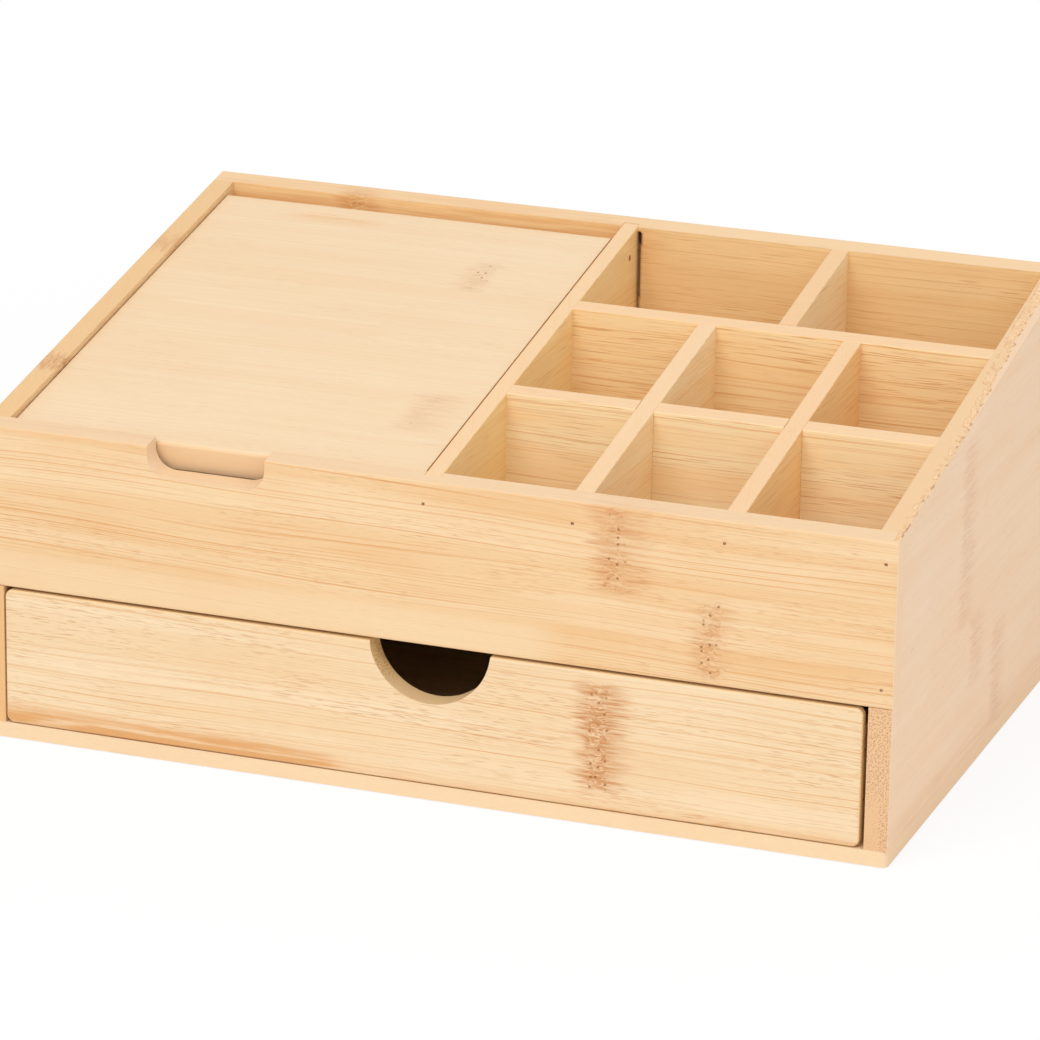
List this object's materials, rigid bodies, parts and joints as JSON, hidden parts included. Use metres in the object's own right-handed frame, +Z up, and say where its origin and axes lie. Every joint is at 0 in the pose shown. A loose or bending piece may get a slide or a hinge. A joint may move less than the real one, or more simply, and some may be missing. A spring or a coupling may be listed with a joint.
{
  "type": "makeup organizer",
  "caption": "Bamboo makeup organizer with a sloping top: a pivoting lid over a bin, open cells beside it, and a full-width drawer below.",
  "frame": {"origin": "middle of the underside of the base board, on the surface it stands on", "axes": "+X to the right as the user faces the drawer, +Y from the drawer front to the back board, +Z up"},
  "size_m": [0.3, 0.194, 0.1378],
  "materials": {
    "bamboo_front": "sanded, clear satin lacquer",
    "bamboo_lid": "sanded, clear satin lacquer",
    "bamboo_case": "sanded, clear satin lacquer",
    "bamboo_divider": "sanded, clear satin lacquer",
    "bamboo_drawer": "sanded, unlacquered inside",
    "steel": "dull, slightly browned"
  },
  "bodies": {
    "case": {"base_board": "bamboo_case", "side_board_left": "bamboo_case", "side_board_right": "bamboo_case", "back_board": "bamboo_case", "front_board": "bamboo_front", "compartment_floor": "bamboo_divider", "main_divider": "bamboo_divider", "cross_divider_front": "bamboo_divider", "cross_divider_rear": "bamboo_divider", "long_divider_left": "bamboo_divider", "long_divider_right": "bamboo_divider", "rear_divider": "bamboo_divider", "lid_rest_left": "bamboo_divider", "lid_rest_right": "bamboo_divider", "lid_pin_left": "steel", "lid_pin_right": "steel", "front_brads": "steel", "back_brads": "steel", "base_brads": "steel"},
    "lid": {"lid_panel": "bamboo_lid"},
    "drawer": {"drawer_front": "bamboo_front", "drawer_side_left": "bamboo_drawer", "drawer_side_right": "bamboo_drawer", "drawer_back": "bamboo_drawer", "drawer_bottom": "bamboo_drawer", "drawer_brads": "steel"}
  },
  "joints": [
    {"name": "lid_hinge", "type": "hinge", "parent": "case", "child": "lid", "pos_m": [-0.073, 0.082, 0.12775], "axis": [-1, 0, 0], "range_deg": [0, 108]},
    {"name": "drawer_slide", "type": "slide", "parent": "case", "child": "drawer", "axis": [0, -1, 0], "range_m": [0, 0.16]}
  ]
}
